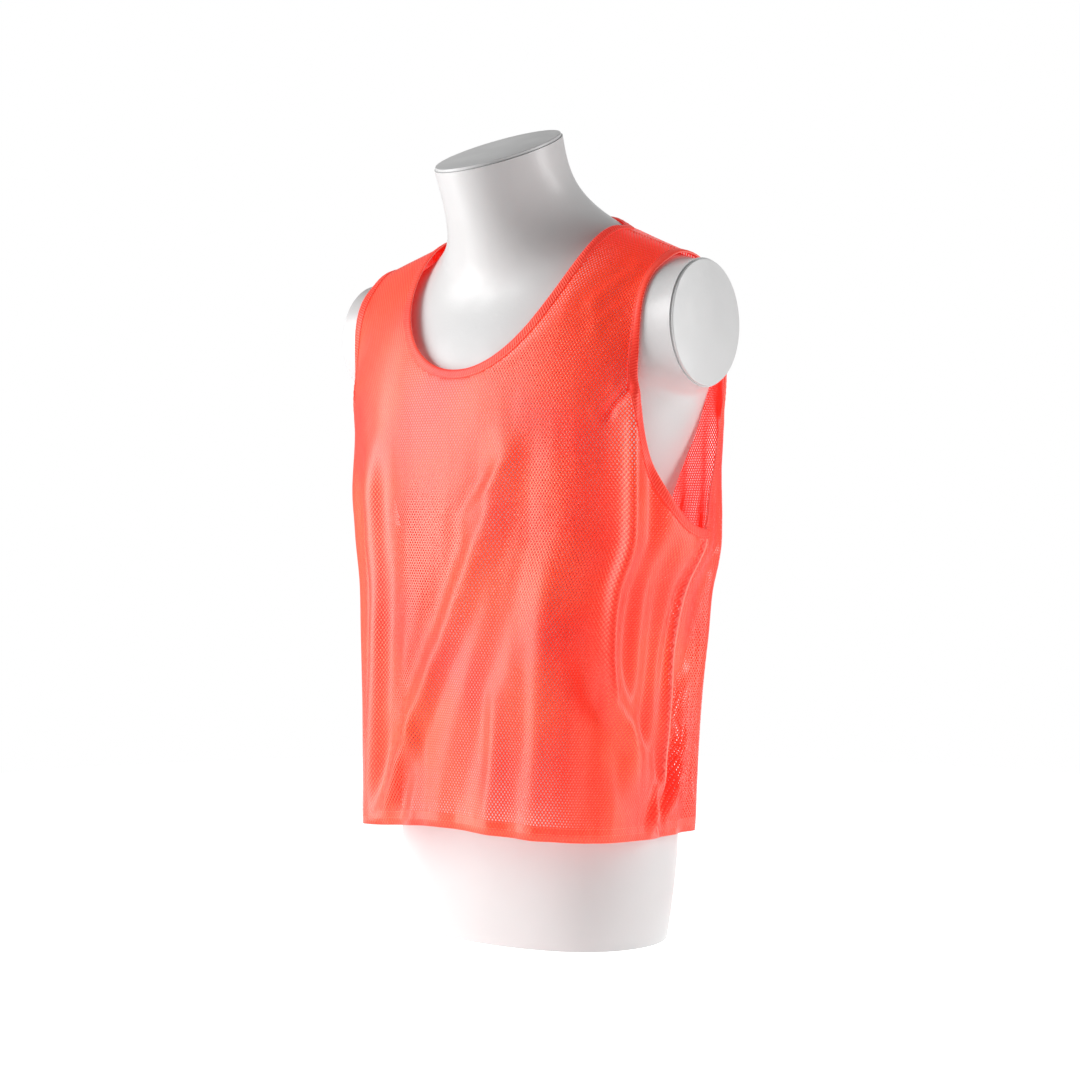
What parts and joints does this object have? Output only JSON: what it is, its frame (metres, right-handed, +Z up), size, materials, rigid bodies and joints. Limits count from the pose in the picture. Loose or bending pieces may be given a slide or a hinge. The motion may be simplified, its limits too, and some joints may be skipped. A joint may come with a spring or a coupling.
{
  "type": "scrimmage vest on a limbless torso display form",
  "caption": "Sleeveless mesh training vest with bound neck and armholes, draped on a smooth limbless torso form with flat shoulder and neck ends.",
  "frame": {"origin": "centre of the flat base of the torso form, on the surface it stands on", "axes": "+Z up; the form faces -Y; +X is the wearer's left"},
  "size_m": [0.4486, 0.2944, 0.8391],
  "materials": {
    "mesh_cloth": "neon coral knitted polyester mesh with a soft sheen",
    "rib_binding": "neon coral ribbed knit binding",
    "gloss_form": "smooth glossy white"
  },
  "bodies": {
    "root": {"front_panel": "mesh_cloth", "back_panel": "mesh_cloth", "neck_binding": "rib_binding", "armhole_binding_left": "rib_binding", "armhole_binding_right": "rib_binding", "torso_form": "gloss_form", "neck_cap": "gloss_form", "shoulder_cap_left": "gloss_form", "shoulder_cap_right": "gloss_form"}
  },
  "joints": []
}
